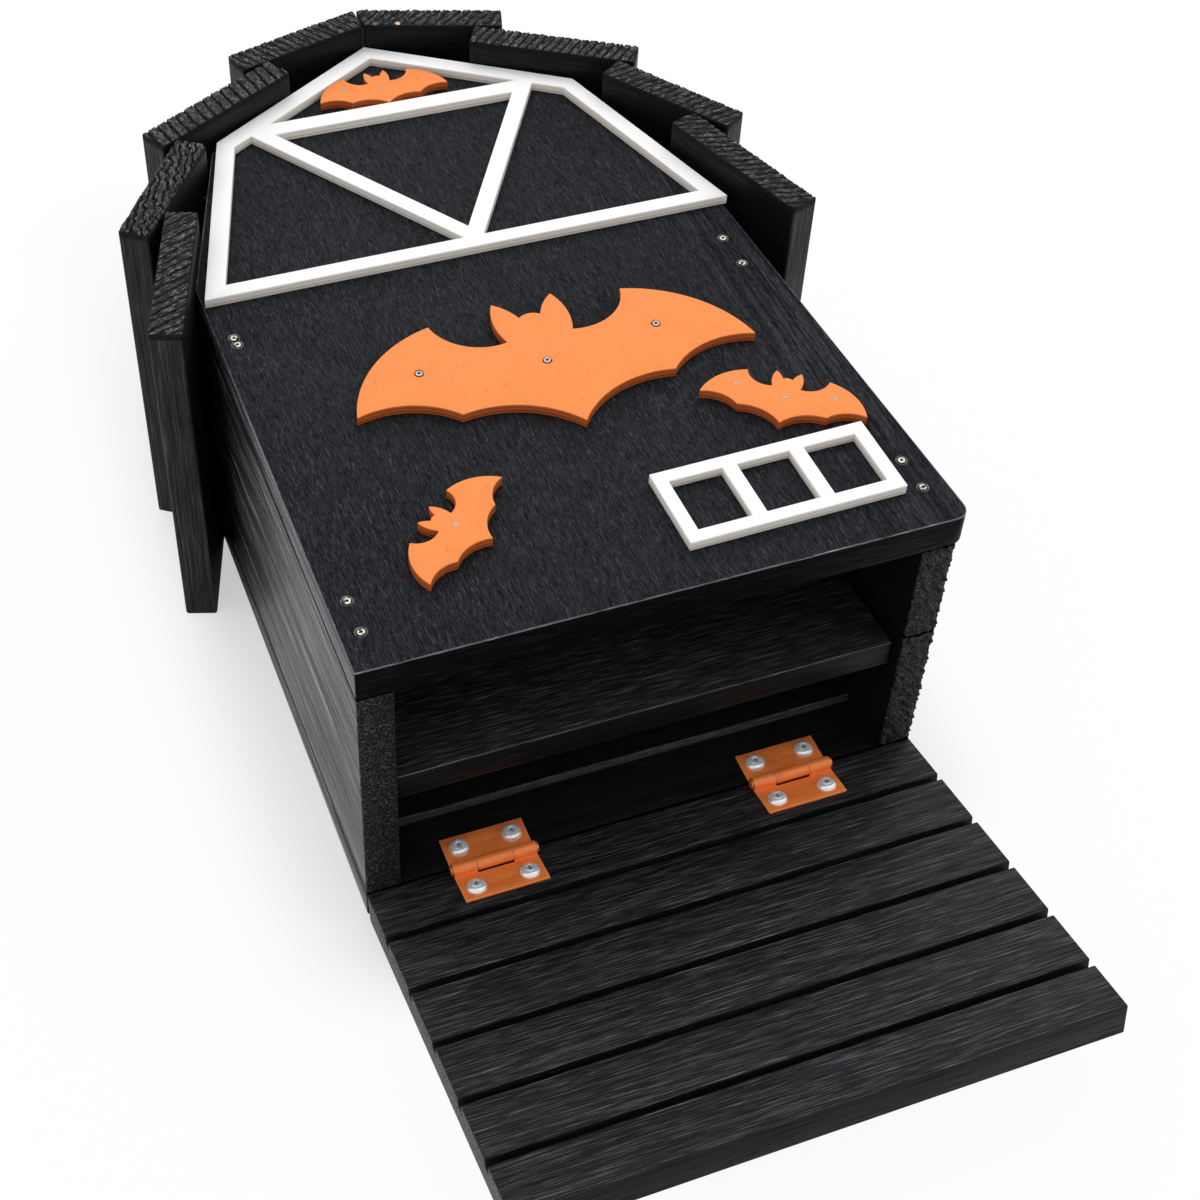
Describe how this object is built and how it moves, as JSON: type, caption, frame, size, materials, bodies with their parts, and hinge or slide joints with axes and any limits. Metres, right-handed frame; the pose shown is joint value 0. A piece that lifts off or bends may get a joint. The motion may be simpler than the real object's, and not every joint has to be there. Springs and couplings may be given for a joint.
{
  "type": "bat box",
  "caption": "Wooden bat box with a lapped gambrel roof, a two-chamber interior open at the bottom, a hinged grooved landing flap and flat bat ornaments on its front.",
  "frame": {"origin": "middle of the bottom of the box round the part, which lies on its back with the flap on its stop", "axes": "+Y from the landing flap up to the ridge, +Z out of the decorated front, +X to the viewer's right"},
  "size_m": [0.37, 0.6982, 0.2052],
  "materials": {
    "black_wood": "satin black stained wood with open grain",
    "white_wood": "matte white paint",
    "orange_wood": "matte orange paint",
    "wood_screws": "dull yellow zinc",
    "nails": "dull steel",
    "zinc_screws": "bright zinc plate",
    "hinge_brass": "satin copper-coloured plate"
  },
  "bodies": {
    "box": {"back_panel": "black_wood", "left_wall": "black_wood", "right_wall_rear": "black_wood", "right_wall_front": "black_wood", "front_panel": "black_wood", "back_liner": "black_wood", "partition": "black_wood", "roof_board_left_1": "black_wood", "roof_board_left_2": "black_wood", "roof_board_left_3": "black_wood", "roof_board_left_4": "black_wood", "roof_board_right_1": "black_wood", "roof_board_right_2": "black_wood", "roof_board_right_3": "black_wood", "roof_board_right_4": "black_wood", "truss_trim": "white_wood", "window_trim": "white_wood", "large_bat": "orange_wood", "right_bat": "orange_wood", "lower_bat": "orange_wood", "gable_bat": "orange_wood", "front_panel_screws": "wood_screws", "back_screws": "wood_screws", "partition_screws": "wood_screws", "bat_screws": "wood_screws", "roof_nails": "nails", "back_leaf_screws": "zinc_screws", "hinge_back_leaf_left": "hinge_brass", "hinge_pin_left": "hinge_brass", "hinge_back_leaf_right": "hinge_brass", "hinge_pin_right": "hinge_brass"},
    "landing_flap": {"landing_flap": "black_wood", "hinge_flap_leaf_left": "hinge_brass", "hinge_flap_leaf_right": "hinge_brass", "flap_leaf_screws": "zinc_screws"}
  },
  "joints": [
    {"name": "flap_hinge", "type": "hinge", "parent": "box", "child": "landing_flap", "pos_m": [-0.00035, -0.14095, 0.0216], "axis": [-1, 0, 0], "range_deg": [0, 80.3]}
  ]
}
